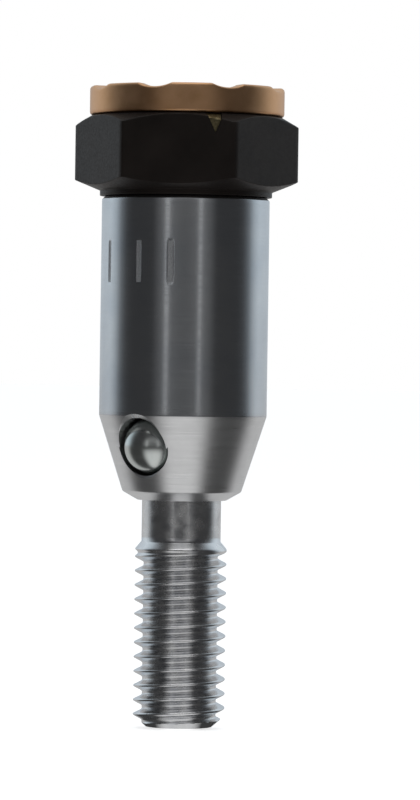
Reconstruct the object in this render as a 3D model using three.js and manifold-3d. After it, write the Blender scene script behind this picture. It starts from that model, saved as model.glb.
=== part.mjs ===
// Quick-change ball-lock tool post: a ground sleeve with a tapered nose slides on a draw stud.
// Turning the hexagon drives the sleeve down the stud, and the stud's cam cone pushes two balls out.
// Millimetres, +Z up along the post's axis, origin at the centre of the stud's lower end face.
// Azimuths are in degrees about +Z, from -Y towards +X. The balls lie on the X axis.
import * as THREE from "three";
import { mergeVertices } from "three/addons/utils/BufferGeometryUtils.js";
import Module from "manifold-3d";

const wasm = await Module();
wasm.setup();

// ---- Driving dimensions -------------------------------------------------------------------

const facets = 48; // sides of a large round face
const shaftFacets = 36; // sides of the stud and of what it carries
const smallFacets = 24; // sides of a pin, screw or hole
const headFacets = 60; // sides of the hexagon's chamfers and of the ring
const seatGap = 0.05; // between two faces that rest on each other
const slideGap = 0.06; // radial, between faces that slide or turn on each other

const stud = {
  threadDiameter: 8,
  threadPitch: 1.25,
  threadLength: 15.5,
  endDiameter: 5.7,
  endChamfer: 0.95,
  neckDiameter: 6.9,
  neckChamfer: 0.65,
  waistGap: 0.12, // between the waist and the balls
  collarUnderNeck: 0.05, // the collar's radius is this much under the neck's, to pass the nose
  collarLength: 1.7,
  collarDrop: 0.3, // the collar starts this far below the spring chamber's floor
  stemShoulder: 0.4, // the stem's radius is this much under the collar's
  stemAboveGroove: 0.9,
  stemChamfer: 0.3,
  socketWidth: 3,
  socketDepth: 2.6,
};

const sleeve = {
  diameter: 14.6,
  barrelLength: 19,
  noseLength: 6.6,
  noseDiameter: 10.35,
  noseLip: 0.75, // height of the shallow cone under the nose
  noseLand: 0.35, // width of the flat ring round the bore's mouth
  noseClear: 3.6, // neck left showing between the nose and the thread
  noseFloor: 1.1, // solid nose above the barrel's lower end, under the spring chamber
  chamberWall: 2.1,
  bushWall: 1.75,
  recessWall: 1.3,
  recessDepth: 1.1,
  topChamfer: 0.25,
};

const ball = {
  diameter: 5,
  belowBarrel: 2.6, // centre below the barrel's lower end
  proud: 0.5, // crown above the nose's surface when released
  holeGap: 0.08, // radial, round the ball in its hole
  lipCatch: 0.07, // the mouth's radius is this much under the ball's, which keeps it in
  lipDepth: 0.55,
  rimWidth: 0.46, // of the countersink round the ball, at the nose's surface
  rimSlope: 0.6, // the countersink's depth for each unit of its width
  camAngle: 40,
  frontAzimuth: -90,
};

const hexagon = {
  acrossFlats: 17,
  height: 6.5,
  cornerAzimuth: -90,
  washerOverhang: 0.2, // the washer face stands out from the sleeve by this much
  washerHeight: 0.45,
  topStep: 0.2, // the top chamfer's circle is this far inside the flats
  topChamfer: 0.99,
  bottomChamfer: 1.03,
  spigotDiameter: 11,
  spigotAboveGroove: 0.45,
  counterboreDiameter: 9.2,
  counterboreDepth: 1, // below the hexagon's top face
};

const ring = {
  diameter: 16.94,
  height: 2.5,
  rimWidth: 1.57, // of the raised rim round the circlip's recess
  recessDepth: 1.3,
  edgeRound: 0.25,
  scallops: 8,
  scallopRadius: 3.4,
  scallopDepth: 0.34,
  firstScallop: -30,
};

const travel = 0.9; // how far the sleeve can go down the stud
const circlip = { thickness: 0.42, grooveDepth: 0.35, sideGap: 0.06, mouth: 70 };
const stopWasher = { diameter: 8.8, thickness: 0.5 };
const bush = { length: 3.9 };
const seat = { wallGap: 0.3, thickness: 0.6 };
const spring = { wire: 0.9, turns: 6.5, perTurn: 16, sides: 6 };
const seal = { section: 0.8, inNose: 0.95, inHexagon: 1.5 }; // its centre above each one's lower end
const keyScrew = { diameter: 4, dogDiameter: 2, sunk: 0.35, socketWidth: 2, socketDepth: 1, azimuth: 180 };
const keyway = { width: 2.3, depth: 1.1 };
const dowel = { diameter: 1.1, inHexagon: 0.9, cover: 0.4 }; // cover is the ring left above its end
const mark = { width: 1.4, height: 1.7, depth: 1.2, azimuth: -39.5 };

// ---- Levels along the axis ----------------------------------------------------------------

const neckBottom = stud.threadLength + stud.neckChamfer;
const noseBottom = neckBottom + sleeve.noseClear;
const noseEdge = noseBottom + sleeve.noseLip;
const barrelBottom = noseEdge + sleeve.noseLength;
const barrelTop = barrelBottom + sleeve.barrelLength;
const hexBottom = barrelTop + seatGap;
const flatsBottom = hexBottom + hexagon.washerHeight;
const hexTop = flatsBottom + hexagon.height;
const ringBottom = hexTop + seatGap;
const ringTop = ringBottom + ring.height;

const neckRadius = stud.neckDiameter / 2;
const collarRadius = neckRadius - stud.collarUnderNeck;
const stemRadius = collarRadius - stud.stemShoulder; // carries the adjusting thread inside the hexagon
const stemHoleRadius = stemRadius + slideGap;
const noseBoreRadius = neckRadius + slideGap;
const sleeveRadius = sleeve.diameter / 2;
const recessRadius = sleeveRadius - sleeve.recessWall;
const bushRadius = sleeveRadius - sleeve.bushWall;
const chamberRadius = sleeveRadius - sleeve.chamberWall;
const washerRadius = sleeveRadius + hexagon.washerOverhang;
const ringRadius = ring.diameter / 2;
const ringRecessRadius = ringRadius - ring.rimWidth;

// The ball rests on the cam cone, which widens downwards.
const ballLevel = barrelBottom - ball.belowBarrel;
const ballRadius = ball.diameter / 2;
const noseSlope = (sleeve.diameter - sleeve.noseDiameter) / 2 / sleeve.noseLength;
const noseRadiusAtBall = sleeveRadius - ball.belowBarrel * noseSlope;
const ballOut = noseRadiusAtBall + ball.proud - ballRadius;
const waistRadius = ballOut - ballRadius - stud.waistGap;
const camAngle = THREE.MathUtils.degToRad(ball.camAngle);
const camRadiusAtBall = ballOut - (ballRadius + slideGap) / Math.cos(camAngle);
const camLevel = (radius) => ballLevel - (radius - camRadiusAtBall) / Math.tan(camAngle);

const chamberBottom = barrelBottom + sleeve.noseFloor;
const collarBottom = chamberBottom - stud.collarDrop;
const collarTop = collarBottom + stud.collarLength;
const lowerSeatBottom = collarTop + seatGap;
const springBottom = lowerSeatBottom + seat.thickness + seatGap;
const recessFloor = barrelTop - sleeve.recessDepth;
const bushBottom = recessFloor - bush.length - seatGap;
const keyLevel = bushBottom + bush.length / 2;
const upperSeatBottom = bushBottom - seatGap - seat.thickness;
const springTop = upperSeatBottom - seatGap;

const counterboreFloor = hexTop - hexagon.counterboreDepth;
const stopWasherBottom = counterboreFloor + seatGap;
const stopWasherTop = stopWasherBottom + stopWasher.thickness;
const stemGrooveBottom = stopWasherTop + seatGap;
const grooveWidth = circlip.thickness + 2 * circlip.sideGap;
const stemTop = stemGrooveBottom + grooveWidth + stud.stemAboveGroove;
const spigotRadius = hexagon.spigotDiameter / 2;
const ringRecessFloor = ringTop - ring.recessDepth;
const spigotGrooveBottom = ringRecessFloor + seatGap;
const spigotTop = spigotGrooveBottom + grooveWidth + hexagon.spigotAboveGroove;

// ---- Solids -------------------------------------------------------------------------------

const radians = THREE.MathUtils.degToRad;
const direction = (azimuth) => new THREE.Vector3(Math.sin(radians(azimuth)), -Math.cos(radians(azimuth)), 0);

function solidOf(geometry) {
  const bare = geometry.index ? geometry.toNonIndexed() : geometry.clone();
  bare.deleteAttribute("normal");
  bare.deleteAttribute("uv");
  const merged = mergeVertices(bare, 1e-4);
  const corners = merged.index.array;
  const triangles = [];
  for (let i = 0; i < corners.length; i += 3) {
    const [a, b, c] = [corners[i], corners[i + 1], corners[i + 2]];
    if (a !== b && b !== c && c !== a) triangles.push(a, b, c);
  }
  return new wasm.Manifold(
    new wasm.Mesh({
      numProp: 3,
      vertProperties: merged.attributes.position.array,
      triVerts: new Uint32Array(triangles),
    }),
  );
}

function geometryOf(solid) {
  const mesh = solid.getMesh();
  const points = new Float32Array(mesh.numVert * 3);
  for (let i = 0; i < mesh.numVert; i++) {
    points.set(mesh.vertProperties.subarray(i * mesh.numProp, i * mesh.numProp + 3), i * 3);
  }
  return new THREE.BufferGeometry()
    .setAttribute("position", new THREE.BufferAttribute(points, 3))
    .setIndex(new THREE.BufferAttribute(mesh.triVerts, 1));
}

// A body turned about Z from an outline of [radius, height] points, listed upwards on the outside.
function turned(outline, sides = facets) {
  const points = outline.map(([radius, height]) => new THREE.Vector2(radius, height));
  const geometry = new THREE.LatheGeometry(points, sides);
  geometry.rotateX(Math.PI / 2);
  return solidOf(geometry);
}

// A plain washer, bush or tube.
function tube(innerRadius, outerRadius, bottom, top, sides = shaftFacets) {
  const outline = [
    [innerRadius, bottom],
    [outerRadius, bottom],
    [outerRadius, top],
    [innerRadius, top],
    [innerRadius, bottom],
  ];
  return turned(outline, sides);
}

// A disc or pin along Z, centred on the axis or on a point beside it.
function disc(radius, bottom, top, sides = shaftFacets, at = new THREE.Vector3()) {
  const geometry = new THREE.CylinderGeometry(radius, radius, top - bottom, sides);
  geometry.rotateX(Math.PI / 2);
  geometry.translate(at.x, at.y, (bottom + top) / 2);
  return solidOf(geometry);
}

// Turns a geometry made along +Y so that it points away from the axis at an azimuth.
function aimed(geometry, azimuth, level) {
  geometry.rotateZ(radians(azimuth - 180));
  geometry.translate(0, 0, level);
  return solidOf(geometry);
}

// A round bar that points away from the axis, from one distance to another.
function radialBar(radius, from, to, azimuth, level, sides = smallFacets) {
  const geometry = new THREE.CylinderGeometry(radius, radius, to - from, sides);
  geometry.translate(0, (from + to) / 2, 0);
  return aimed(geometry, azimuth, level);
}

// A hexagonal prism about Z, with a corner at the azimuth.
function hexPrism(acrossFlats, bottom, top, cornerAzimuth = 0) {
  const corner = acrossFlats / Math.sqrt(3);
  const geometry = new THREE.CylinderGeometry(corner, corner, top - bottom, 6);
  geometry.rotateX(Math.PI / 2);
  geometry.rotateZ(radians(cornerAzimuth));
  geometry.translate(0, 0, (bottom + top) / 2);
  return solidOf(geometry);
}

// A section of [radius, height] points, listed anticlockwise, carried round the axis and up by one
// pitch each turn.
function helix(section, pitch, bottom, turns, perTurn) {
  const steps = Math.round(turns * perTurn);
  const sides = section.length;
  const positions = [];
  const triangles = [];
  for (let i = 0; i <= steps; i++) {
    const angle = (i / perTurn) * 2 * Math.PI;
    for (const [radius, height] of section) {
      const rise = (i / perTurn) * pitch;
      positions.push(radius * Math.cos(angle), radius * Math.sin(angle), bottom + height + rise);
    }
  }
  for (let i = 0; i < steps; i++) {
    for (let j = 0; j < sides; j++) {
      const a = i * sides + j;
      const b = i * sides + ((j + 1) % sides);
      triangles.push(a, a + sides, b, b, a + sides, b + sides);
    }
  }
  const end = steps * sides;
  for (let j = 1; j < sides - 1; j++) {
    triangles.push(0, j, j + 1);
    triangles.push(end, end + j + 1, end + j);
  }
  const geometry = new THREE.BufferGeometry();
  geometry.setAttribute("position", new THREE.Float32BufferAttribute(positions, 3));
  geometry.setIndex(triangles);
  return solidOf(geometry);
}

// An O-ring that lines a bore, and the groove that holds it.
function sealRing(boreRadius, level) {
  const radius = seal.section / 2;
  const torus = new THREE.TorusGeometry(boreRadius + radius, radius, 8, shaftFacets);
  torus.translate(0, 0, level);
  return solidOf(torus);
}

function sealGroove(boreRadius, level) {
  const half = seal.section / 2 + slideGap;
  return tube(boreRadius - 0.2, boreRadius + seal.section + slideGap, level - half, level + half);
}

// ---- The stud and what stays on it --------------------------------------------------------

// The V of an ISO metric thread, cut a little way past the crests.
function threadGroove() {
  const depth = 0.6134 * stud.threadPitch;
  const rootWidth = stud.threadPitch / 4;
  const mouthWidth = (stud.threadPitch * 7) / 8;
  const past = 0.12;
  const widening = (past / depth) * (mouthWidth - rootWidth);
  const root = stud.threadDiameter / 2 - depth;
  const outer = stud.threadDiameter / 2 + past;
  const section = [
    [root, -rootWidth / 2],
    [outer, -(mouthWidth + widening) / 2],
    [outer, (mouthWidth + widening) / 2],
    [root, rootWidth / 2],
  ];
  const turns = (stud.threadLength - stud.threadPitch / 4) / stud.threadPitch + 1;
  return helix(section, stud.threadPitch, -stud.threadPitch, turns, 18);
}

function drawStud() {
  const outline = [
    [0, 0],
    [stud.endDiameter / 2, 0],
    [stud.threadDiameter / 2, stud.endChamfer],
    [stud.threadDiameter / 2, stud.threadLength],
    [neckRadius, neckBottom],
    [neckRadius, camLevel(neckRadius)],
    [waistRadius, camLevel(waistRadius)],
    [waistRadius, collarBottom - (collarRadius - waistRadius) / 2],
    [collarRadius, collarBottom],
    [collarRadius, collarTop],
    [stemRadius, collarTop],
    [stemRadius, stemTop - stud.stemChamfer],
    [stemRadius - stud.stemChamfer, stemTop],
    [0, stemTop],
  ];
  const grooveRadius = stemRadius - circlip.grooveDepth;
  const clipGroove = tube(grooveRadius, stemRadius + 1, stemGrooveBottom, stemGrooveBottom + grooveWidth);
  const socket = hexPrism(stud.socketWidth, stemTop - stud.socketDepth, stemTop + 1);
  const wayLength = keyScrew.dogDiameter + travel + 0.6;
  const way = new THREE.BoxGeometry(keyway.width, keyway.depth + 1, wayLength);
  way.translate(0, stemRadius + (1 - keyway.depth) / 2, -travel / 2);
  return turned(outline, shaftFacets)
    .subtract(threadGroove())
    .subtract(clipGroove)
    .subtract(socket)
    .subtract(aimed(way, keyScrew.azimuth, keyLevel));
}

// An external circlip in its groove: an eccentric open ring with two pierced lugs.
function circlipOn(shaftRadius, grooveBottom, width, azimuth) {
  const bottom = grooveBottom + circlip.sideGap;
  const top = bottom + circlip.thickness;
  const inner = shaftRadius - circlip.grooveDepth + slideGap;
  const centre = direction(azimuth).multiplyScalar(-0.12 * width);
  let clip = disc(inner + width, bottom, top, shaftFacets, centre);
  const lugAngles = [-1, 1].map((side) => azimuth + side * (circlip.mouth / 2 + 14));
  for (const angle of lugAngles) {
    const lug = direction(angle).multiplyScalar(inner + 0.62 * width);
    clip = clip.add(disc(0.52 * width, bottom, top, 16, lug));
  }
  clip = clip.subtract(disc(inner, bottom - 1, top + 1));
  for (const angle of lugAngles) {
    const eye = direction(angle).multiplyScalar(inner + 0.66 * width);
    clip = clip.subtract(disc(0.2 * width, bottom - 1, top + 1, 12, eye));
  }
  const reach = 3 * (inner + width);
  const halfMouth = radians(circlip.mouth / 2);
  const wedge = new THREE.Shape();
  wedge.moveTo(0, 0);
  wedge.lineTo(-reach * Math.sin(halfMouth), -reach);
  wedge.lineTo(reach * Math.sin(halfMouth), -reach);
  const opening = new THREE.ExtrudeGeometry(wedge, { depth: 2 + circlip.thickness, bevelEnabled: false });
  opening.rotateZ(radians(azimuth));
  opening.translate(0, 0, bottom - 1);
  return clip.subtract(solidOf(opening));
}

function returnSpring() {
  const radius = spring.wire / 2;
  const meanRadius = (stemRadius + chamberRadius) / 2;
  const section = [];
  for (let i = 0; i < spring.sides; i++) {
    const angle = (i / spring.sides) * 2 * Math.PI;
    section.push([meanRadius + radius * Math.cos(angle), radius * Math.sin(angle)]);
  }
  const pitch = (springTop - springBottom - spring.wire) / spring.turns;
  return helix(section, pitch, springBottom + radius, spring.turns, spring.perTurn);
}

// ---- The sleeve and what slides with it ---------------------------------------------------

function ballHole(azimuth) {
  const boreEnd = noseRadiusAtBall - ball.lipDepth;
  const bore = radialBar(ballRadius + ball.holeGap, 0, boreEnd, azimuth, ballLevel, 36);
  const mouth = radialBar(ballRadius - ball.lipCatch, 0, noseRadiusAtBall + 3, azimuth, ballLevel, 36);
  const inside = 1;
  const outside = 1.5;
  const rim = ballRadius + ball.rimWidth;
  const height = (inside + outside) * ball.rimSlope;
  const flare = new THREE.CylinderGeometry(rim + outside, rim - inside, height, 36);
  flare.translate(0, height / 2 - inside * ball.rimSlope, 0);
  flare.rotateX(-Math.atan(noseSlope)); // square to the nose's slope
  flare.translate(0, noseRadiusAtBall, 0);
  return bore.add(mouth).add(aimed(flare, azimuth, ballLevel));
}

function postBody() {
  const outline = [
    [noseBoreRadius, noseBottom],
    [noseBoreRadius + sleeve.noseLand, noseBottom],
    [sleeve.noseDiameter / 2, noseEdge],
    [sleeveRadius, barrelBottom],
    [sleeveRadius, barrelTop - sleeve.topChamfer],
    [sleeveRadius - sleeve.topChamfer, barrelTop],
    [recessRadius, barrelTop],
    [recessRadius, recessFloor],
    [bushRadius, recessFloor],
    [bushRadius, bushBottom - seatGap],
    [chamberRadius, bushBottom - seatGap],
    [chamberRadius, chamberBottom],
    [noseBoreRadius, chamberBottom],
    [noseBoreRadius, noseBottom],
  ];
  const screwHoleRadius = keyScrew.diameter / 2 + slideGap;
  const screwHole = radialBar(screwHoleRadius, stemRadius, sleeveRadius + 1, keyScrew.azimuth, keyLevel);
  return turned(outline)
    .subtract(sealGroove(noseBoreRadius, noseBottom + seal.inNose))
    .subtract(ballHole(ball.frontAzimuth))
    .subtract(ballHole(ball.frontAzimuth + 180))
    .subtract(screwHole);
}

function guideBush() {
  const wall = tube(stemHoleRadius, bushRadius - slideGap, bushBottom, bushBottom + bush.length);
  const hole = radialBar(keyScrew.dogDiameter / 2 + slideGap, 0, sleeveRadius, keyScrew.azimuth, keyLevel);
  return wall.subtract(hole);
}

function dogScrew() {
  const face = sleeveRadius - keyScrew.sunk;
  const shoulder = bushRadius + seatGap;
  const dogEnd = stemRadius - keyway.depth + 4 * slideGap;
  const shank = radialBar(keyScrew.diameter / 2, shoulder, face, keyScrew.azimuth, keyLevel);
  const dogRadius = keyScrew.dogDiameter / 2;
  const dog = radialBar(dogRadius, dogEnd, face - keyScrew.socketDepth, keyScrew.azimuth, keyLevel);
  const corner = keyScrew.socketWidth / Math.sqrt(3);
  const socket = new THREE.CylinderGeometry(corner, corner, keyScrew.socketDepth + 1, 6);
  socket.translate(0, face + (1 - keyScrew.socketDepth) / 2, 0);
  return shank.add(dog).subtract(aimed(socket, keyScrew.azimuth, keyLevel));
}

function lockBall(azimuth) {
  const at = direction(azimuth).multiplyScalar(ballOut);
  const sphere = new THREE.SphereGeometry(ballRadius, 24, 16);
  sphere.translate(at.x, at.y, ballLevel);
  return solidOf(sphere);
}

// ---- The hexagon and what turns with it ---------------------------------------------------

// The hexagon with both ends chamfered, shrunk all round by an inset.
function chamferedHexagon(inset = 0) {
  const corner = hexagon.acrossFlats / Math.sqrt(3) + 0.2;
  const outline = [
    [0, flatsBottom],
    [washerRadius - inset, flatsBottom],
    [corner - inset, flatsBottom + hexagon.bottomChamfer],
    [corner - inset, hexTop - hexagon.topChamfer],
    [hexagon.acrossFlats / 2 - hexagon.topStep - inset, hexTop],
    [0, hexTop],
  ];
  const prism = hexPrism(hexagon.acrossFlats - 2 * inset, flatsBottom - 1, hexTop + 1, hexagon.cornerAzimuth);
  return turned(outline, headFacets).intersect(prism);
}

// The V-shaped index mark let into the hexagon's top edge, or the notch for it with a gap.
function indexWedge(gap = 0) {
  const half = mark.width / 2 + gap;
  const shape = new THREE.Shape();
  shape.moveTo(-half, 0);
  shape.lineTo(0, -mark.height - gap * (1 + mark.height / mark.width));
  shape.lineTo(half, 0);
  const reach = mark.depth + 2 + gap;
  const geometry = new THREE.ExtrudeGeometry(shape, { depth: reach, bevelEnabled: false });
  geometry.rotateX(Math.PI / 2); // the V's height along Z, the reach along -Y
  geometry.translate(0, hexagon.acrossFlats / 2 + 2, 0);
  return aimed(geometry, mark.azimuth, hexTop);
}

// A dowel between the hexagon and the ring, or the hole for it with a gap.
function dowelAt(azimuth, gap = 0) {
  const bottom = hexTop - dowel.inHexagon - gap;
  const top = ringRecessFloor - dowel.cover + gap;
  const at = direction(azimuth).multiplyScalar((spigotRadius + ringRecessRadius) / 2);
  return disc(dowel.diameter / 2 + gap, bottom, top, 16, at);
}

function hexHead() {
  const grooveRadius = spigotRadius - circlip.grooveDepth;
  const grooveTop = spigotGrooveBottom + grooveWidth;
  const clipGroove = tube(grooveRadius, spigotRadius + 1, spigotGrooveBottom, grooveTop);
  return chamferedHexagon()
    .add(disc(washerRadius, hexBottom, flatsBottom + 0.5, headFacets))
    .add(disc(spigotRadius, hexTop - 0.5, spigotTop, facets))
    .subtract(disc(stemHoleRadius, hexBottom - 1, hexTop))
    .subtract(disc(hexagon.counterboreDiameter / 2, counterboreFloor, spigotTop + 1))
    .subtract(clipGroove)
    .subtract(sealGroove(stemHoleRadius, hexBottom + seal.inHexagon))
    .subtract(dowelAt(90, slideGap))
    .subtract(dowelAt(-90, slideGap))
    .subtract(indexWedge(slideGap));
}

function fingerRing() {
  const inner = spigotRadius + slideGap;
  const roundedCorner = (from, level) =>
    [0, 1, 2].map((step) => {
      const angle = from + step * (Math.PI / 4);
      return [ringRadius + ring.edgeRound * (Math.cos(angle) - 1), level + ring.edgeRound * Math.sin(angle)];
    });
  const outline = [
    [inner, ringBottom],
    ...roundedCorner(-Math.PI / 2, ringBottom + ring.edgeRound),
    ...roundedCorner(0, ringTop - ring.edgeRound),
    [ringRecessRadius, ringTop],
    [ringRecessRadius, ringRecessFloor],
    [inner, ringRecessFloor],
    [inner, ringBottom],
  ];
  let cut = turned(outline, headFacets).subtract(dowelAt(90, slideGap)).subtract(dowelAt(-90, slideGap));
  const level = ringTop + ring.scallopRadius - ring.scallopDepth;
  for (let i = 0; i < ring.scallops; i++) {
    const azimuth = ring.firstScallop + (i * 360) / ring.scallops;
    cut = cut.subtract(radialBar(ring.scallopRadius, spigotRadius, ringRadius + 1, azimuth, level, 32));
  }
  return cut;
}

// ---- Materials and the assembly -----------------------------------------------------------

const finish = (color, roughness, metalness = 1) =>
  new THREE.MeshStandardMaterial({ color, roughness, metalness });
const groundSteel = finish(0xb9bcc2, 0.2);
const studSteel = finish(0x9a9da2, 0.32);
const blackSteel = finish(0x252221, 0.5, 0.6);
const bronze = finish(0x9c6b43, 0.35);
const ballSteel = finish(0xc9ccd0, 0.08);
const springSteel = finish(0x8d9095, 0.35);
const rubber = finish(0x181818, 0.8, 0);

const post = new THREE.Group();

function place(name, solid, material) {
  const mesh = new THREE.Mesh(geometryOf(solid), material);
  mesh.name = name;
  post.add(mesh);
}

const onStem = (radius, bottom, top) => tube(stemHoleRadius, radius, bottom, top);
const springSeat = (bottom) => onStem(chamberRadius - seat.wallGap, bottom, bottom + seat.thickness);

place("draw_stud", drawStud(), studSteel);
place("stop_washer", onStem(stopWasher.diameter / 2, stopWasherBottom, stopWasherTop), studSteel);
place("stem_circlip", circlipOn(stemRadius, stemGrooveBottom, 1.05, 40), springSteel);
place("lower_spring_seat", springSeat(lowerSeatBottom), studSteel);
place("return_spring", returnSpring(), springSteel);

place("post_body", postBody(), groundSteel);
place("nose_seal", sealRing(noseBoreRadius, noseBottom + seal.inNose), rubber);
place("upper_spring_seat", springSeat(upperSeatBottom), studSteel);
place("guide_bush", guideBush(), bronze);
place("key_screw", dogScrew(), blackSteel);
place("thrust_washer", onStem(recessRadius - slideGap, recessFloor + seatGap, barrelTop), bronze);
place("lock_ball_front", lockBall(ball.frontAzimuth), ballSteel);
place("lock_ball_rear", lockBall(ball.frontAzimuth + 180), ballSteel);

place("hex_head", hexHead(), blackSteel);
place("stem_seal", sealRing(stemHoleRadius, hexBottom + seal.inHexagon), rubber);
place("finger_ring", fingerRing(), bronze);
place("ring_circlip", circlipOn(spigotRadius, spigotGrooveBottom, 1.15, -75), springSteel);
place("ring_dowel_right", dowelAt(90), springSteel);
place("ring_dowel_left", dowelAt(-90), springSteel);
place("index_mark", indexWedge().intersect(chamferedHexagon(seatGap)), bronze);

export default post;
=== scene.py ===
"""The looks of a quick-change ball-lock tool post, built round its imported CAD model.

Metres, +Z up along the post's axis. Sizes in the tables below are millimetres.
"""
import math

import bmesh
import bpy
from mathutils import Matrix, Vector


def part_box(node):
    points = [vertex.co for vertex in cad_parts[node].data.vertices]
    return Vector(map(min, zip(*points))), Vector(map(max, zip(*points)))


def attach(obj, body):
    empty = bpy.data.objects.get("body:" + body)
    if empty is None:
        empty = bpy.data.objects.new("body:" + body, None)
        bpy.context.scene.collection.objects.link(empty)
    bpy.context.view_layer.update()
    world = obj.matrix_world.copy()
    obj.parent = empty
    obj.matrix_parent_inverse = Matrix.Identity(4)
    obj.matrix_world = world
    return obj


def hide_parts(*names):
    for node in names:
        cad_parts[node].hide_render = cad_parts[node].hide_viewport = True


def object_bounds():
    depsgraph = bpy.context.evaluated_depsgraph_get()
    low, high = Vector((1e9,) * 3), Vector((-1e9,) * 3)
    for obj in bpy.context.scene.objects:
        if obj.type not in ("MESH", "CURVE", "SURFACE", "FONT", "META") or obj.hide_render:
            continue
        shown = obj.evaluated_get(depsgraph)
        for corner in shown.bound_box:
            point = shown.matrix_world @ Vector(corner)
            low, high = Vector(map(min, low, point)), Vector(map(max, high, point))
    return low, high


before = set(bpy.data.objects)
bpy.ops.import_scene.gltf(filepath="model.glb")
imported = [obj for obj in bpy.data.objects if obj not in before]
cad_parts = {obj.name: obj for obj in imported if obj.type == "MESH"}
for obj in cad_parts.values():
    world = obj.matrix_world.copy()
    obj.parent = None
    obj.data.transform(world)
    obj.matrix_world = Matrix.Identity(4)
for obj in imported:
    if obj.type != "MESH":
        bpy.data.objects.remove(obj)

MM = 0.001
cad_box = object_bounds()


def low(node):
    return Vector(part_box(node)[0]) / MM


def high(node):
    return Vector(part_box(node)[1]) / MM


# ---- Sizes, in millimetres, taken from the frame where its boxes give them ------------------

NOSE_BOTTOM = low("post_body").z
BARREL_TOP = high("post_body").z
SLEEVE_R = high("post_body").y
HEX_BOTTOM = low("hex_head").z
SPIGOT_TOP = high("hex_head").z
HEX_HALF = high("hex_head").y
RING_BOTTOM = low("finger_ring").z
RING_TOP = high("finger_ring").z
RING_R = high("finger_ring").x
STUD_TOP = high("draw_stud").z
THREAD_R = high("draw_stud").x
BALL_R = (high("lock_ball_front").z - low("lock_ball_front").z) / 2
BALL_Z = (high("lock_ball_front").z + low("lock_ball_front").z) / 2
BALL_OUT = -low("lock_ball_front").x - BALL_R

SEAT_GAP = 0.05  # between two faces that rest on each other
SLIDE_GAP = 0.06  # radial, between faces that slide or turn on each other
WAIST_GAP = 0.12  # between the stud's waist and the balls
PITCH = 1.25
HEX_TOP = RING_BOTTOM - SEAT_GAP
THREAD_TOP = 15.5
THREAD_END_R = 2.85
END_CHAMFER = 0.95
NECK_R = 3.45
NECK_BOTTOM = THREAD_TOP + 0.65
NOSE_EDGE = NOSE_BOTTOM + 0.75
NOSE_R = 5.175
BARREL_BOTTOM = NOSE_EDGE + 6.6
BORE_R = NECK_R + SLIDE_GAP
CHAMBER_R = SLEEVE_R - 2.1
WASHER_R = SLEEVE_R + 0.2
FLATS_BOTTOM = HEX_BOTTOM + 0.45
TOP_CIRCLE = HEX_HALF - 0.2
STEM_R = 3.0
CAM_ANGLE = math.radians(40)
CAM_R = BALL_OUT - (BALL_R + SLIDE_GAP) / math.cos(CAM_ANGLE)  # level with the balls
WAIST_R = BALL_OUT - BALL_R - WAIST_GAP
COLLAR_R = NECK_R - 0.05
HOLE_GAP = 0.08  # radial, round a ball in its hole
LIP_CATCH = 0.07  # the hole's mouth is this much smaller than the ball in radius
LIP_DEPTH = 0.55
RIM_WIDTH = 0.46  # of the countersink round a ball
RIM_SLOPE = 0.6  # the countersink's depth for each unit of its width
SPIGOT_R = 5.5
COUNTERBORE_R = 4.6
COUNTERBORE_FLOOR = HEX_TOP - 1.0
RECESS_R = RING_R - 1.57
RECESS_FLOOR = RING_TOP - 1.3
CLIP_GROOVE = 0.35
CLIP_GROOVE_WIDTH = 0.54
STEM_ABOVE_GROOVE = 0.9
CLIP_HALF_MOUTH = math.radians(35)
CLIP_LUG_ANGLE = math.radians(49)  # from the middle of the mouth to each lug
KEY_Z = (high("key_screw").z + low("key_screw").z) / 2
KEY_R = (high("key_screw").x - low("key_screw").x) / 2
KEY_FACE = high("key_screw").y


# ---- Mesh helpers ---------------------------------------------------------------------------

def new_object(name, points, faces, angle=35):
    """An object from points in millimetres, smooth except where its faces meet sharply."""
    mesh = bpy.data.meshes.new(name)
    mesh.from_pydata([tuple(c * MM for c in p) for p in points], [], faces)
    mesh.validate()
    piece = bpy.data.objects.new(name, mesh)
    bpy.context.collection.objects.link(piece)
    shade(piece, angle)
    return piece


def shade(piece, angle=35):
    piece.data.polygons.foreach_set("use_smooth", [True] * len(piece.data.polygons))
    piece.data.set_sharp_from_angle(angle=math.radians(angle))


def rounded(corners, steps=4):
    """An outline of (radius, height, rounding) corners, with each corner turned into an arc."""
    outline = []
    count = len(corners)
    for i, (r, z, rounding) in enumerate(corners):
        corner = Vector((r, z))
        before = Vector(corners[(i - 1) % count][:2]) - corner
        after = Vector(corners[(i + 1) % count][:2]) - corner
        if rounding == 0 or before.length == 0 or after.length == 0:
            outline.append(corner)
            continue
        reach = min(rounding, before.length * 0.45, after.length * 0.45)
        start = corner + before.normalized() * reach
        end = corner + after.normalized() * reach
        for step in range(steps + 1):
            t = step / steps
            outline.append(start * (1 - t) ** 2 + corner * 2 * t * (1 - t) + end * t ** 2)
    return outline


def filled(outline, spacing):
    """The closed outline with its long straight stretches divided."""
    dense = []
    for here, there in zip(outline, outline[1:] + outline[:1]):
        parts = max(1, math.ceil((there - here).length / spacing))
        dense.extend(here.lerp(there, part / parts) for part in range(parts))
    return dense


def revolved(name, outline, columns, place=None):
    """A closed outline carried round Z. place(angle, r, z) may move a point of the surface."""
    move = place or (lambda angle, r, z: (r, z))
    points = []
    for column in range(columns):
        angle = column / columns * math.tau
        for r, z in outline:
            radius, height = move(angle, r, z)
            points.append((radius * math.cos(angle), radius * math.sin(angle), height))
    rows = len(outline)
    faces = []
    for column in range(columns):
        here = column * rows
        there = (column + 1) % columns * rows
        for row in range(rows):
            above = (row + 1) % rows
            faces.append((here + row, there + row, there + above, here + above))
    return new_object(name, points, faces)


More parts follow.
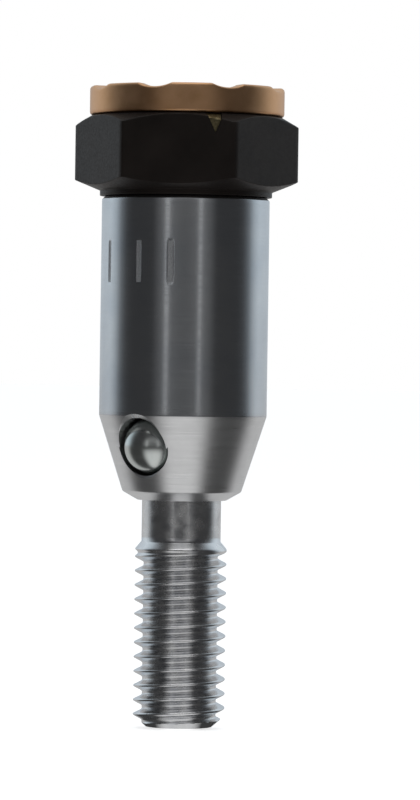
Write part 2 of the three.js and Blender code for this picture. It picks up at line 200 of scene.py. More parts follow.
def bar(name, radius, length, sides, centre, direction, end_radius=None):
    """A plain round or many-sided bar, used only as a cutting tool."""
    mesh = bpy.data.meshes.new(name)
    tool = bmesh.new()
    bmesh.ops.create_cone(
        tool,
        cap_ends=True,
        segments=sides,
        radius1=radius * MM,
        radius2=(radius if end_radius is None else end_radius) * MM,
        depth=length * MM,
    )
    turn = Vector((0, 0, 1)).rotation_difference(Vector(direction)).to_matrix().to_4x4()
    bmesh.ops.transform(tool, matrix=Matrix.Translation(Vector(centre) * MM) @ turn, verts=tool.verts)
    tool.to_mesh(mesh)
    tool.free()
    piece = bpy.data.objects.new(name, mesh)
    bpy.context.collection.objects.link(piece)
    return piece


def boolean(piece, tool, operation="DIFFERENCE"):
    """Cuts or joins with a tool, and throws the tool away."""
    change = piece.modifiers.new("cut", "BOOLEAN")
    change.operation = operation
    change.solver = "MANIFOLD"
    change.object = tool
    apply_modifiers(piece)
    piece.data.materials.clear()  # the solver adds an empty slot for the tool
    bpy.data.objects.remove(tool)


def apply_modifiers(piece):
    graph = bpy.context.evaluated_depsgraph_get()
    mesh = bpy.data.meshes.new_from_object(piece.evaluated_get(graph))
    old = piece.data
    piece.modifiers.clear()
    piece.data = mesh
    mesh.name = piece.name
    bpy.data.meshes.remove(old)


def smooth_min(a, b, blend):
    """The smaller of two lengths, with the corner between them rounded off."""
    mix = max(blend - abs(a - b), 0) / blend
    return min(a, b) - mix * mix * blend / 4


def ramp(value, start, end):
    t = min(1, max(0, (value - start) / (end - start)))
    return t * t * (3 - 2 * t)


# ---- Materials ------------------------------------------------------------------------------

class Surface:
    """A Principled material whose small marks come from nodes in object space."""

    def __init__(self, name, color, metallic, roughness, **sockets):
        self.material = bpy.data.materials.new(name)
        self.material.use_nodes = True
        self.nodes = self.material.node_tree.nodes
        self.links = self.material.node_tree.links
        self.shader = self.nodes["Principled BSDF"]
        self.shader.inputs["Base Color"].default_value = (*color, 1)
        self.shader.inputs["Metallic"].default_value = metallic
        self.shader.inputs["Roughness"].default_value = roughness
        for socket, value in sockets.items():
            self.shader.inputs[socket.replace("_", " ")].default_value = value
        self.place = self.nodes.new("ShaderNodeTexCoord").outputs["Object"]
        self.height = None

    def noise(self, scale, detail=3, stretch=(1, 1, 1), place=None):
        """Noise with scale cells to a metre along each axis, times the stretch."""
        mapping = self.nodes.new("ShaderNodeMapping")
        mapping.inputs["Scale"].default_value = [scale * s for s in stretch]
        self.links.new(place or self.place, mapping.inputs["Vector"])
        texture = self.nodes.new("ShaderNodeTexNoise")
        texture.inputs["Scale"].default_value = 1
        texture.inputs["Detail"].default_value = detail
        self.links.new(mapping.outputs["Vector"], texture.inputs["Vector"])
        return texture.outputs["Fac"]

    def spread(self, value, low_value, high_value, start=0.3, end=0.7):
        """The value between start and end, stretched to run from low_value to high_value."""
        node = self.nodes.new("ShaderNodeMapRange")
        node.inputs["From Min"].default_value = start
        node.inputs["From Max"].default_value = end
        node.inputs["To Min"].default_value = low_value
        node.inputs["To Max"].default_value = high_value
        self.links.new(value, node.inputs["Value"])
        return node.outputs["Result"]

    def colors(self, value, first, second):
        node = self.nodes.new("ShaderNodeMix")
        node.data_type = "RGBA"
        node.inputs[6].default_value = (*first, 1)
        node.inputs[7].default_value = (*second, 1)
        self.links.new(value, node.inputs[0])
        self.links.new(node.outputs[2], self.shader.inputs["Base Color"])

    def rough(self, value, low_value, high_value):
        self.links.new(self.spread(value, low_value, high_value), self.shader.inputs["Roughness"])

    def bump(self, value, depth_mm, strength=1.0):
        """Adds height to the surface, on top of any bump it already has."""
        node = self.nodes.new("ShaderNodeBump")
        node.inputs["Distance"].default_value = depth_mm * MM
        node.inputs["Strength"].default_value = strength
        self.links.new(value, node.inputs["Height"])
        if self.height is not None:
            self.links.new(self.height, node.inputs["Normal"])
        self.height = node.outputs["Normal"]
        self.links.new(self.height, self.shader.inputs["Normal"])

    def grain_around(self, amount):
        """Stretches highlights along Z, as fine grooves that run round the axis do."""
        tangent = self.nodes.new("ShaderNodeTangent")
        tangent.direction_type = "RADIAL"
        tangent.axis = "Z"
        self.links.new(tangent.outputs["Tangent"], self.shader.inputs["Tangent"])
        self.shader.inputs["Anisotropic"].default_value = amount
        self.shader.inputs["Anisotropic Rotation"].default_value = 0.25


AROUND = (0.02, 0.02, 1)  # stretches noise into rings about the axis


def ground_steel():
    surface = Surface("ground_steel", (0.60, 0.63, 0.66), 1, 0.2)
    lines = surface.noise(14000, 4, AROUND)
    cloud = surface.noise(260, 3)
    surface.colors(surface.spread(cloud, 0, 1), (0.57, 0.60, 0.635), (0.66, 0.68, 0.70))
    surface.rough(lines, 0.16, 0.26)
    surface.bump(lines, 0.004, 0.5)
    surface.grain_around(0.55)
    return surface.material


def nose_steel():
    surface = Surface("nose_steel", (0.84, 0.845, 0.85), 1, 0.3)
    lines = surface.noise(9000, 4, AROUND)
    cloud = surface.noise(500, 3)
    surface.colors(surface.spread(cloud, 0, 1), (0.80, 0.805, 0.81), (0.88, 0.885, 0.89))
    surface.rough(lines, 0.27, 0.38)
    surface.bump(lines, 0.006, 0.5)
    return surface.material


def stud_steel():
    surface = Surface("stud_steel", (0.77, 0.78, 0.79), 1, 0.22)
    lines = surface.noise(7000, 4, AROUND)
    cloud = surface.noise(900, 4)
    surface.colors(surface.spread(cloud, 0, 1), (0.68, 0.69, 0.71), (0.86, 0.86, 0.86))
    surface.rough(cloud, 0.15, 0.3)
    surface.bump(lines, 0.008, 0.6)
    return surface.material


def etched_steel():
    surface = Surface("etched_steel", (0.62, 0.64, 0.66), 0.6, 0.6)
    frost = surface.noise(12000, 3)
    surface.colors(surface.spread(frost, 0, 1), (0.50, 0.52, 0.54), (0.78, 0.80, 0.82))
    surface.bump(frost, 0.01, 0.6)
    return surface.material


def black_steel():
    warm = (1, 0.86, 0.8, 1)
    surface = Surface(
        "black_steel", (0.028, 0.024, 0.022), 0, 0.42, Specular_Tint=warm, Specular_IOR_Level=0.2
    )
    skin = surface.noise(5000, 4)
    cloud = surface.noise(300, 3)
    surface.colors(surface.spread(cloud, 0, 1), (0.021, 0.018, 0.0165), (0.036, 0.030, 0.027))
    surface.rough(skin, 0.34, 0.5)
    surface.bump(skin, 0.006, 0.5)
    return surface.material


def bronze():
    surface = Surface("bronze", (0.71, 0.41, 0.21), 1, 0.3)
    lines = surface.noise(8000, 4, AROUND)
    cloud = surface.noise(420, 4)
    surface.colors(surface.spread(cloud, 0, 1), (0.72, 0.40, 0.20), (0.90, 0.55, 0.31))
    surface.rough(cloud, 0.36, 0.50)
    surface.bump(lines, 0.006, 0.6)
    surface.grain_around(0.3)
    return surface.material


def brass_mark():
    surface = Surface("brass_mark", (0.2, 0.17, 0.09), 0.8, 0.45)
    grain = surface.noise(6000, 4)
    surface.colors(surface.spread(grain, 0, 1), (0.13, 0.11, 0.055), (0.28, 0.235, 0.13))
    surface.bump(grain, 0.01, 0.7)
    return surface.material


def ball_steel():
    surface = Surface("ball_steel", (0.66, 0.69, 0.68), 1, 0.2)
    film = surface.noise(700, 4)
    scratches = surface.noise(9000, 2, (1, 0.1, 0.3))
    surface.colors(surface.spread(film, 0, 1), (0.60, 0.64, 0.63), (0.72, 0.75, 0.73))
    surface.rough(film, 0.17, 0.26)
    surface.bump(scratches, 0.0015, 0.4)
    return surface.material


def spring_steel():
    surface = Surface("spring_steel", (0.25, 0.25, 0.26), 1, 0.35)
    skin = surface.noise(4000, 4)
    surface.colors(surface.spread(skin, 0, 1), (0.17, 0.17, 0.175), (0.36, 0.355, 0.35))
    surface.rough(skin, 0.28, 0.45)
    surface.bump(skin, 0.005, 0.5)
    return surface.material


def seal_rubber():
    surface = Surface("seal_rubber", (0.012, 0.012, 0.013), 0, 0.65)
    skin = surface.noise(3000, 4)
    surface.colors(surface.spread(skin, 0, 1), (0.008, 0.008, 0.009), (0.02, 0.02, 0.021))
    surface.bump(skin, 0.01, 0.6)
    return surface.material


GROUND = ground_steel()
NOSE = nose_steel()
STUD = stud_steel()
ETCHED = etched_steel()
BLACK = black_steel()
BRONZE = bronze()
MARK = brass_mark()
BALL = ball_steel()
SPRING = spring_steel()
RUBBER = seal_rubber()


def finish_piece(piece, body, node, slot, *materials):
    """Dresses a piece, and lets it ride on its body in place of its CAD node."""
    if not piece.data.materials:
        for material in materials:
            piece.data.materials.append(material)
    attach(piece, body)
    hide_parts(node)


# ---- The stud -------------------------------------------------------------------------------

def thread_radius(angle, z):
    """The rolled V thread, with its crests and roots slightly rounded."""
    depth = 0.6134 * PITCH
    turn = (z / PITCH - angle / math.tau) % 1
    from_root = min(turn, 1 - turn) * PITCH
    total = 0
    offsets = (-0.14, -0.07, 0, 0.07, 0.14)
    for offset in offsets:
        slope = (from_root - PITCH / 8) / (PITCH * 5 / 16) + offset
        total += min(1, max(0, slope))
    cut = 1 - total / len(offsets)
    runout = 1 - ramp(z, THREAD_TOP - 0.7, THREAD_TOP)
    return THREAD_R - depth * cut * runout


def cam_level(radius):
    return BALL_Z - (radius - CAM_R) / math.tan(CAM_ANGLE)


def stud_piece():
    rows = 300
    outline = [Vector((0.4, 0)), Vector((THREAD_END_R - 0.25, 0))]
    for row in range(rows + 1):
        z = 0.02 + (NECK_BOTTOM - 0.02) * row / rows
        outline.append(Vector((THREAD_R, z)))
    groove_bottom = STUD_TOP - STEM_ABOVE_GROOVE - CLIP_GROOVE_WIDTH
    upper = rounded([
        (NECK_R, cam_level(NECK_R), 0),
        (WAIST_R, cam_level(WAIST_R), 0.2),
        (WAIST_R, 27.0, 0.2),
        (COLLAR_R, 27.9, 0.1),
        (COLLAR_R, 29.6, 0.1),
        (STEM_R, 29.6, 0.05),
        (STEM_R, groove_bottom, 0.03),
        (STEM_R - CLIP_GROOVE, groove_bottom, 0.03),
        (STEM_R - CLIP_GROOVE, groove_bottom + CLIP_GROOVE_WIDTH, 0.03),
        (STEM_R, groove_bottom + CLIP_GROOVE_WIDTH, 0.03),
        (STEM_R, STUD_TOP - 0.3, 0.06),
        (STEM_R - 0.3, STUD_TOP, 0.06),
        (0.4, STUD_TOP, 0),
        (0.4, STUD_TOP - 1, 0),
    ])
    upper.pop()
    outline += [Vector((NECK_R, NECK_BOTTOM + 0.1 + i * 0.3)) for i in range(1, 15)]
    outline += upper
    last = len(outline) - 1

    def place(angle, r, z):
        if z > NECK_BOTTOM or r < THREAD_END_R:
            return r, z
        chamfer = THREAD_END_R + (THREAD_R - THREAD_END_R) * z / END_CHAMFER
        top = NECK_R + (THREAD_R - NECK_R) * (NECK_BOTTOM - z) / (NECK_BOTTOM - THREAD_TOP)
        return smooth_min(smooth_min(thread_radius(angle, z), chamfer, 0.08), top, 0.08), z

    columns = 144
    points = []
    for column in range(columns):
        angle = column / columns * math.tau
        for r, z in outline:
            radius, height = place(angle, r, z)
            points.append((radius * math.cos(angle), radius * math.sin(angle), height))
    count = len(outline)
    bottom = len(points)
    points += [(0, 0, 0), (0, 0, STUD_TOP)]
    faces = []
    for column in range(columns):
        here = column * count
        there = (column + 1) % columns * count
        faces.append((bottom, there, here))
        faces.append((bottom + 1, here + last, there + last))
        for row in range(last):
            faces.append((here + row, there + row, there + row + 1, here + row + 1))
    piece = new_object("stud", points, faces, 50)
    socket = 1.5 * 2 / math.sqrt(3)
    boolean(piece, bar("stud_socket", socket, 5.2, 6, (0, 0, STUD_TOP), (0, 0, 1)))
    rim = bar("stud_socket_rim", 1.35, 0.8, 64, (0, 0, STUD_TOP + 0.1), (0, 0, 1), 2.15)
    boolean(piece, rim)
    shade(piece, 50)
    finish_piece(piece, "stud", "draw_stud", "stud_steel", STUD)


stud_piece()


# ---- The sleeve -----------------------------------------------------------------------------

# Etched lines round the front of the barrel: azimuth in degrees about +Z from -Y, and height.
TICKS = [(-118, 3.4), (-88, 3.4), (-65, 3.4)]
TICK_WIDTH = 0.42
TICK_Z = 40.4
TICK_DEPTH = 0.05


def angle_of(azimuth):
    """The angle from +X of an azimuth, which is counted from -Y towards +X."""
    return math.radians(azimuth - 90)


def tick_depth(angle, z):
    deepest = 0
    for azimuth, height in TICKS:
        across = abs((angle - angle_of(azimuth) + math.pi) % math.tau - math.pi) * SLEEVE_R
        along = abs(z - TICK_Z) - height / 2
        side = 1 - ramp(across, TICK_WIDTH / 2 - 0.05, TICK_WIDTH / 2 + 0.05)
        end = 1 - ramp(along, -0.05, 0.05)
        deepest = max(deepest, side * end)
    return deepest


def sleeve_piece():
    corners = rounded([
        (BORE_R, NOSE_BOTTOM, 0.08),
        (BORE_R + 0.35, NOSE_BOTTOM, 0.08),
        (NOSE_R, NOSE_EDGE, 0.12),
        (SLEEVE_R, BARREL_BOTTOM, 0.1),
        (SLEEVE_R, BARREL_TOP - 0.25, 0.08),
        (SLEEVE_R - 0.25, BARREL_TOP, 0.08),
        (SLEEVE_R - 1.3, BARREL_TOP, 0.05),
        (SLEEVE_R - 1.3, BARREL_TOP - 1.1, 0.05),
        (SLEEVE_R - 1.75, BARREL_TOP - 1.1, 0.05),
        (SLEEVE_R - 1.75, 41.0, 0.05),
        (CHAMBER_R, 41.0, 0.05),
        (CHAMBER_R, BARREL_BOTTOM + 1.1, 0.1),
        (BORE_R, BARREL_BOTTOM + 1.1, 0.05),
    ])
    outline = filled(corners, 0.3)

    def place(angle, r, z):
        if r < SLEEVE_R - 0.01 or abs(z - TICK_Z) > 3:
            return r, z
        return r - TICK_DEPTH * tick_depth(angle, z), z

    piece = revolved("sleeve", outline, 480, place)
    slope = (SLEEVE_R - NOSE_R) / (BARREL_BOTTOM - NOSE_EDGE)
    surface_r = SLEEVE_R - (BARREL_BOTTOM - BALL_Z) * slope
    for side in (-1, 1):
        normal = Vector((side, 0, -slope)).normalized()
        mouth = bar("mouth", BALL_R - LIP_CATCH, 8, 96, (side * 7, 0, BALL_Z), (side, 0, 0))
        boolean(piece, mouth)
        depth = surface_r - LIP_DEPTH
        hole = bar("hole", BALL_R + HOLE_GAP, depth, 96, (side * depth / 2, 0, BALL_Z), (side, 0, 0))
        boolean(piece, hole)
        rim = BALL_R + RIM_WIDTH
        at = Vector((side * surface_r, 0, BALL_Z)) + normal * 0.25 * RIM_SLOPE
        flare = bar("flare", rim - 1, 2.5 * RIM_SLOPE, 96, at, normal, rim + 1.5)
        boolean(piece, flare)
    boolean(piece, bar("key_hole", KEY_R + SLIDE_GAP, 6, 64, (0, 8, KEY_Z), (0, 1, 0)))
    chamfer = bar("key_rim", KEY_R - 0.1, 0.6, 64, (0, SLEEVE_R, KEY_Z), (0, 1, 0), KEY_R + 0.5)
    boolean(piece, chamfer)
    for material in (GROUND, NOSE, ETCHED):
        piece.data.materials.append(material)
    for face in piece.data.polygons:
        centre = face.center / MM
        radius = math.hypot(centre.x, centre.y)
        angle = math.atan2(centre.y, centre.x)
        if centre.z < BARREL_BOTTOM or radius < SLEEVE_R - 0.2:
            face.material_index = 1
        elif tick_depth(angle, centre.z) > 0.3:
            face.material_index = 2
    shade(piece, 30)
    finish_piece(piece, "sleeve", "post_body", "ground_steel")


def ball_piece(node, body, side):
    """A bearing ball on a grid that is fine enough to look round close up."""
    mesh = bpy.data.meshes.new(body)
    shell = bmesh.new()
    bmesh.ops.create_cube(shell, size=2)
    bmesh.ops.subdivide_edges(shell, edges=shell.edges, cuts=23, use_grid_fill=True)
    centre = Vector((side * BALL_OUT, 0, BALL_Z)) * MM
    for vertex in shell.verts:
        warped = Vector([math.tan(c * math.pi / 4) for c in vertex.co])
        vertex.co = centre + warped.normalized() * BALL_R * MM
    shell.to_mesh(mesh)
    shell.free()
    piece = bpy.data.objects.new(body, mesh)
    bpy.context.collection.objects.link(piece)
    shade(piece, 80)
    finish_piece(piece, body, node, "ball_steel", BALL)


def key_screw_piece():
    length = KEY_FACE - low("key_screw").y
    outline = rounded([
        (0.05, 0, 0),
        (0.9, 0, 0.05),
        (1.0, 0.1, 0.05),
        (1.0, length - 1.4, 0.05),
        (KEY_R, length - 1.35, 0.1),
        (KEY_R, length - 0.2, 0.1),
        (KEY_R - 0.2, length, 0.1),
        (0.05, length, 0),
    ])
    piece = revolved("dog_screw", outline, 96)
    boolean(piece, bar("socket", 2 / math.sqrt(3), 2, 6, (0, 0, length), (0, 0, 1)))
    turn = Matrix.Rotation(math.radians(-90), 4, "X")
    shift = Matrix.Translation(Vector((0, low("key_screw").y, KEY_Z)) * MM)
    piece.data.transform(shift @ turn)
    shade(piece, 30)
    finish_piece(piece, "sleeve", "key_screw", "black_steel", BLACK)


sleeve_piece()
ball_piece("lock_ball_front", "front_ball", -1)
ball_piece("lock_ball_rear", "rear_ball", 1)
key_screw_piece()


# ---- The head -------------------------------------------------------------------------------

MARK_AZIMUTH = -39.5
MARK_HALF = 0.7
MARK_HEIGHT = 1.7


def hexagon_radius(angle):
    """The distance to the hexagon's side, with its upright edges slightly rounded."""
    sector = math.radians(60)
    off = (angle + math.radians(90) + sector / 2) % sector - sector / 2
    plain = HEX_HALF / math.cos(off)
    corner = HEX_HALF * 2 / math.sqrt(3)
    return smooth_min(plain, corner - 0.06, 0.12)


def mark_wedge(name, gap, depth):
    """The V let into the hexagon's top edge."""
    half = MARK_HALF + gap
    drop = MARK_HEIGHT + gap * 2
    outline = [(-half, 0.3), (-half, 0), (0, -drop), (half, 0), (half, 0.3)]
    angle = angle_of(MARK_AZIMUTH)
    out = Vector((math.cos(angle), math.sin(angle), 0))
    across = Vector((-math.sin(angle), math.cos(angle), 0))
    top = Vector((0, 0, HEX_TOP))
    points = []
    for reach in (HEX_HALF - depth, HEX_HALF + 2):
        points += [tuple(out * reach + across * x + top + Vector((0, 0, z))) for x, z in outline]
    count = len(outline)
    faces = [tuple(range(count))[::-1], tuple(range(count, 2 * count))]
    faces += [(i, (i + 1) % count, (i + 1) % count + count, i + count) for i in range(count)]
    return new_object(name, points, faces)


def hex_piece():
    outline = rounded([
        (STEM_R + SLIDE_GAP, HEX_BOTTOM, 0.08),
        (WASHER_R, HEX_BOTTOM, 0.06),
        (WASHER_R, FLATS_BOTTOM, 0.05),
        (HEX_HALF + 1.53, FLATS_BOTTOM + 1.03, 0),
        (HEX_HALF + 1.53, HEX_TOP - 0.99, 0),
        (TOP_CIRCLE, HEX_TOP, 0.08),
        (SPIGOT_R, HEX_TOP, 0.05),
        (SPIGOT_R, RECESS_FLOOR + SEAT_GAP, 0.02),
        (SPIGOT_R - CLIP_GROOVE, RECESS_FLOOR + SEAT_GAP, 0.02),
        (SPIGOT_R - CLIP_GROOVE, RECESS_FLOOR + SEAT_GAP + CLIP_GROOVE_WIDTH, 0.02),
        (SPIGOT_R, RECESS_FLOOR + SEAT_GAP + CLIP_GROOVE_WIDTH, 0.02),
        (SPIGOT_R, SPIGOT_TOP, 0.1),
        (COUNTERBORE_R, SPIGOT_TOP, 0.12),
        (COUNTERBORE_R, COUNTERBORE_FLOOR, 0.05),
        (STEM_R + SLIDE_GAP, COUNTERBORE_FLOOR, 0.05),
    ])
    outline = filled(outline, 0.12)

    def place(angle, r, z):
        if r < WASHER_R + 0.02 or z < FLATS_BOTTOM:
            return r, z
        return smooth_min(r, hexagon_radius(angle), 0.1), z

    piece = revolved("hexagon", outline, 360, place)
    boolean(piece, mark_wedge("notch", 0.04, 1.2))
    shade(piece, 25)
    finish_piece(piece, "head", "hex_head", "black_steel", BLACK)


def mark_piece():
    piece = mark_wedge("index_v", 0, 1.15)
    outline = [
        Vector((0.5, FLATS_BOTTOM)),
        Vector((HEX_HALF + 1.45, FLATS_BOTTOM)),
        Vector((HEX_HALF + 1.45, HEX_TOP - 1.05)),
        Vector((TOP_CIRCLE - 0.12, HEX_TOP - 0.06)),
        Vector((0.5, HEX_TOP - 0.06)),
    ]

    def place(angle, r, z):
        return min(r, hexagon_radius(angle) - 0.08), z

    boolean(piece, revolved("mark_limit", filled(outline, 0.3), 360, place), "INTERSECT")
    shade(piece, 30)
    finish_piece(piece, "head", "index_mark", "bronze", MARK)


SCALLOPS = 8
SCALLOP_R = 3.4
SCALLOP_DEPTH = 0.34
FIRST_SCALLOP = -30


def scallop(angle, r):
    """How far the ring's top is cut down, by round hollows that run outwards."""
    sector = math.tau / SCALLOPS
    off = (angle - angle_of(FIRST_SCALLOP) + sector / 2) % sector - sector / 2
    across = r * math.sin(off)
    if abs(across) >= SCALLOP_R:
        return 0
    level = SCALLOP_R - math.sqrt(SCALLOP_R ** 2 - across ** 2)
    return -smooth_min(level - SCALLOP_DEPTH, 0, 0.06)


def ring_piece():
    outline = rounded([
        (SPIGOT_R + SLIDE_GAP, RING_BOTTOM, 0.08),
        (RING_R, RING_BOTTOM, 0.32),
        (RING_R, RING_TOP, 0.34),
        (RECESS_R, RING_TOP, 0.1),
        (RECESS_R, RECESS_FLOOR, 0.08),
        (SPIGOT_R + SLIDE_GAP, RECESS_FLOOR, 0.05),
    ], 8)
    outline = filled(outline, 0.15)
    middle = (RING_BOTTOM + RING_TOP) / 2

    def place(angle, r, z):
        if r < RECESS_R - 0.01 or z < middle:
            return r, z
        return r, z - scallop(angle, r) * (z - middle) / (RING_TOP - middle)

    piece = revolved("finger_grip", outline, 480, place)
    shade(piece, 40)
    finish_piece(piece, "head", "finger_ring", "bronze", BRONZE)


def clip_piece(name, node, body, shaft_r, width, azimuth):
    """An external circlip: an eccentric open ring with two pierced lugs and broken edges."""
    bottom = low(node).z
    thickness = high(node).z - bottom
    inner = shaft_r - CLIP_GROOVE + SLIDE_GAP
    middle = bottom + thickness / 2
    angle = angle_of(azimuth)

    def polar(distance, at):
        return (distance * math.cos(at), distance * math.sin(at), middle)

    up = (0, 0, 1)
    piece = bar(name, inner + width, thickness, 128, polar(-0.12 * width, angle), up)
    lugs = [angle + side * CLIP_LUG_ANGLE for side in (-1, 1)]
    for lug in lugs:
        knob = bar("lug", 0.52 * width, thickness, 48, polar(inner + 0.62 * width, lug), up)
        boolean(piece, knob, "UNION")
    boolean(piece, bar("bore", inner, thickness + 2, 128, (0, 0, middle), up))
    for lug in lugs:
        eye = bar("eye", 0.2 * width, thickness + 2, 32, polar(inner + 0.66 * width, lug), up)
        boolean(piece, eye)
    reach = 3 * (inner + width)
    sides = [angle + side * CLIP_HALF_MOUTH for side in (-1, 1)]
    corners = [(0, 0)] + [(reach * math.cos(a), reach * math.sin(a)) for a in sides]
    points = [(x, y, middle + dz) for dz in (-2, 2) for x, y in corners]
    faces = [(2, 1, 0), (3, 4, 5), (0, 1, 4, 3), (1, 2, 5, 4), (2, 0, 3, 5)]
    boolean(piece, new_object("mouth", points, faces))
    bevel = piece.modifiers.new("edge", "BEVEL")
    bevel.width = 0.03 * MM
    bevel.segments = 2
    bevel.limit_method = "ANGLE"
    bevel.angle_limit = math.radians(40)
    apply_modifiers(piece)
    shade(piece, 40)
    finish_piece(piece, body, node, "spring_steel", SPRING)


def stop_washer_piece():
    bottom, top = low("stop_washer").z, high("stop_washer").z
    outer = high("stop_washer").x
    outline = rounded([
        (STEM_R + SLIDE_GAP, bottom, 0.03),
        (outer, bottom, 0.08),
        (outer, top, 0.08),
        (STEM_R + SLIDE_GAP, top, 0.05),
    ])
    piece = revolved("stop_disc", outline, 160)
    finish_piece(piece, "stud", "stop_washer", "stud_steel", STUD)


hex_piece()
mark_piece()
ring_piece()
clip_piece("stem_clip", "stem_circlip", "stud", STEM_R, 1.05, 40)
clip_piece("ring_clip", "ring_circlip", "head", SPIGOT_R, 1.15, -75)
stop_washer_piece()


# ---- CAD nodes that keep their shape --------------------------------------------------------

KEPT = {
    "lower_spring_seat": STUD,
    "upper_spring_seat": STUD,
    "return_spring": SPRING,
    "nose_seal": RUBBER,
    "stem_seal": RUBBER,
    "guide_bush": BRONZE,
    "thrust_washer": BRONZE,
    "ring_dowel_right": SPRING,
    "ring_dowel_left": SPRING,
}
for node, material in KEPT.items():
    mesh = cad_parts[node].data
    mesh.materials.clear()
    mesh.materials.append(material)


# ---- Floor, light and camera ----------------------------------------------------------------

VIEW_AZIMUTH = math.radians(-55.5)
VIEW_ELEVATION = math.radians(0.5)
toward = Vector((math.sin(VIEW_AZIMUTH), -math.cos(VIEW_AZIMUTH), 0))  # from the post to the camera
right = Vector((-toward.y, toward.x, 0))
up = Vector((0, 0, 1))


def vector_node(nodes, links, operation, source, other=None):
    node = nodes.new("ShaderNodeVectorMath")
    node.operation = operation
    links.new(source, node.inputs[0])
    if other is not None:
        node.inputs[1].default_value = other
    return node


def map_node(nodes, links, value, start, end, low_value, high_value):
    node = nodes.new("ShaderNodeMapRange")
    node.inputs["From Min"].default_value = start
    node.inputs["From Max"].default_value = end
    node.inputs["To Min"].default_value = low_value
    node.inputs["To Max"].default_value = high_value
    links.new(value, node.inputs["Value"])
    return node.outputs["Result"]


def make_floor():
    """A pale floor. Only the camera sees it white: other rays see dim patches on it."""
    mesh = bpy.data.meshes.new("floor")
    size = 4
    corners = [(-size, -size, 0), (size, -size, 0), (size, size, 0), (-size, size, 0)]
    mesh.from_pydata(corners, [], [(0, 1, 2, 3)])
    floor = bpy.data.objects.new("floor", mesh)
    bpy.context.collection.objects.link(floor)
    floor.location.z = cad_box[0][2] - 0.0001
    material = bpy.data.materials.new("floor")
    material.use_nodes = True
    nodes, links = material.node_tree.nodes, material.node_tree.links
    pale = nodes["Principled BSDF"]
    pale.inputs["Base Color"].default_value = (0.9, 0.9, 0.9, 1)
    pale.inputs["Roughness"].default_value = 1
    pale.inputs["Specular IOR Level"].default_value = 0
    pale.inputs["Emission Color"].default_value = (1, 1, 1, 1)
    pale.inputs["Emission Strength"].default_value = 0.75
    place = nodes.new("ShaderNodeTexCoord").outputs["Object"]
    distance = vector_node(nodes, links, "LENGTH", place).outputs["Value"]
    way = vector_node(nodes, links, "NORMALIZE", place).outputs["Vector"]
    ahead = vector_node(nodes, links, "DOT_PRODUCT", way, toward).outputs["Value"]
    near = map_node(nodes, links, distance, 0.04, 0.15, 1, 0)
    front = map_node(nodes, links, ahead, 0.72, 0.92, 0, 0.62)
    behind = map_node(nodes, links, ahead, -0.1, -0.45, 0.05, 0.5)
    patch = nodes.new("ShaderNodeMath")
    patch.operation = "MULTIPLY_ADD"
    links.new(near, patch.inputs[0])
    links.new(front, patch.inputs[1])
    links.new(behind, patch.inputs[2])
    glow = nodes.new("ShaderNodeEmission")
    links.new(patch.outputs[0], glow.inputs["Strength"])
    path = nodes.new("ShaderNodeLightPath")
    mix = nodes.new("ShaderNodeMixShader")
    links.new(path.outputs["Is Camera Ray"], mix.inputs[0])
    links.new(glow.outputs[0], mix.inputs[1])
    links.new(pale.outputs[0], mix.inputs[2])
    links.new(mix.outputs[0], nodes["Material Output"].inputs["Surface"])
    mesh.materials.append(material)


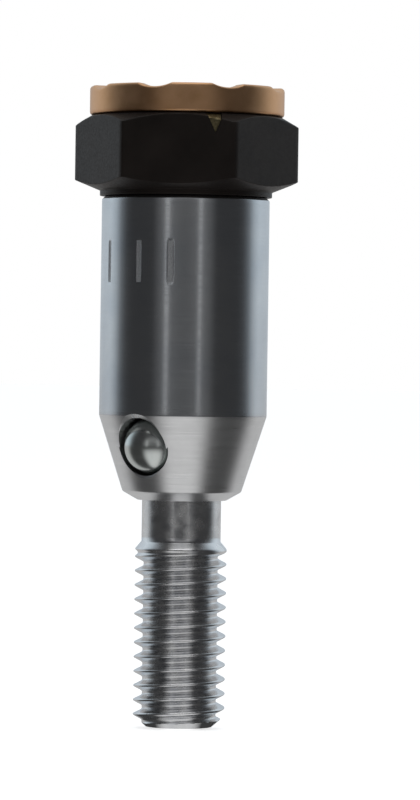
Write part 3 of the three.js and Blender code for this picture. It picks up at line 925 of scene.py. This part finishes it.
def make_world():
    """A studio that is bright behind the post, dark beside the camera and dim at the camera."""
    world = bpy.data.worlds.new("studio")
    bpy.context.scene.world = world
    world.use_nodes = True
    nodes, links = world.node_tree.nodes, world.node_tree.links
    nodes.clear()
    output = nodes.new("ShaderNodeOutputWorld")
    place = nodes.new("ShaderNodeTexCoord").outputs["Generated"]
    facing = vector_node(nodes, links, "DOT_PRODUCT", place, toward).outputs["Value"]
    bands = nodes.new("ShaderNodeValToRGB")
    stops = [
        (0.0, (0.52, 0.57, 0.62)),
        (0.22, (0.70, 0.78, 0.84)),
        (0.34, (0.50, 0.57, 0.62)),
        (0.42, (0.22, 0.24, 0.26)),
        (0.52, (0.07, 0.072, 0.076)),
        (0.60, (0.04, 0.04, 0.042)),
        (0.86, (0.04, 0.04, 0.042)),
        (0.955, (0.24, 0.24, 0.245)),
        (1.0, (0.13, 0.13, 0.132)),
    ]
    ramp_stops = bands.color_ramp.elements
    ramp_stops[0].position, ramp_stops[0].color = stops[0][0], (*stops[0][1], 1)
    ramp_stops[1].position, ramp_stops[1].color = stops[-1][0], (*stops[-1][1], 1)
    for position, color in stops[1:-1]:
        ramp_stops.new(position).color = (*color, 1)
    links.new(map_node(nodes, links, facing, -1, 1, 0, 1), bands.inputs["Fac"])
    studio = nodes.new("ShaderNodeBackground")
    links.new(bands.outputs["Color"], studio.inputs["Color"])
    plain = nodes.new("ShaderNodeBackground")
    plain.inputs["Color"].default_value = (1, 1, 1, 1)
    path = nodes.new("ShaderNodeLightPath")
    mix = nodes.new("ShaderNodeMixShader")
    links.new(path.outputs["Is Camera Ray"], mix.inputs[0])
    links.new(studio.outputs[0], mix.inputs[1])
    links.new(plain.outputs[0], mix.inputs[2])
    links.new(mix.outputs[0], output.inputs["Surface"])


def softbox(name, azimuth, elevation, distance, width, height, power):
    """A soft light seen from the post at an azimuth counted from the camera, to its right."""
    light = bpy.data.lights.new(name, "AREA")
    light.shape = "RECTANGLE"
    light.size = width
    light.size_y = height
    light.energy = power
    lamp = bpy.data.objects.new(name, light)
    bpy.context.collection.objects.link(lamp)
    a, e = math.radians(azimuth), math.radians(elevation)
    way = (toward * math.cos(a) + right * math.sin(a)) * math.cos(e) + up * math.sin(e)
    aim = Vector((0, 0, BARREL_BOTTOM * MM))
    lamp.location = aim + way * distance
    lamp.rotation_mode = "QUATERNION"
    lamp.rotation_quaternion = (-way).to_track_quat("-Z", "Y")
    lamp.visible_camera = False


def make_camera():
    data = bpy.data.cameras.new("camera")
    data.lens = 206.6
    data.sensor_width = 36
    data.clip_start = 0.01
    data.clip_end = 50
    camera = bpy.data.objects.new("camera", data)
    bpy.context.collection.objects.link(camera)
    distance = 0.4
    back = toward * math.cos(VIEW_ELEVATION) + up * math.sin(VIEW_ELEVATION)
    aim = right * 0.00235 + up * 0.0285
    camera.location = aim + back * distance
    camera.rotation_mode = "QUATERNION"
    roll = Matrix.Rotation(math.radians(0.83), 3, "Z")
    camera.rotation_quaternion = ((-back).to_track_quat("-Z", "Y").to_matrix() @ roll).to_quaternion()
    bpy.context.scene.camera = camera


make_floor()
make_world()
softbox("front_left", -24, 10, 0.6, 0.06, 0.3, 0.02)
softbox("front_right", 21, 10, 0.6, 0.05, 0.3, 0.015)
softbox("overhead", 0, 78, 0.5, 0.35, 0.35, 0.5)
make_camera()
bpy.context.scene.view_settings.view_transform = "Standard"
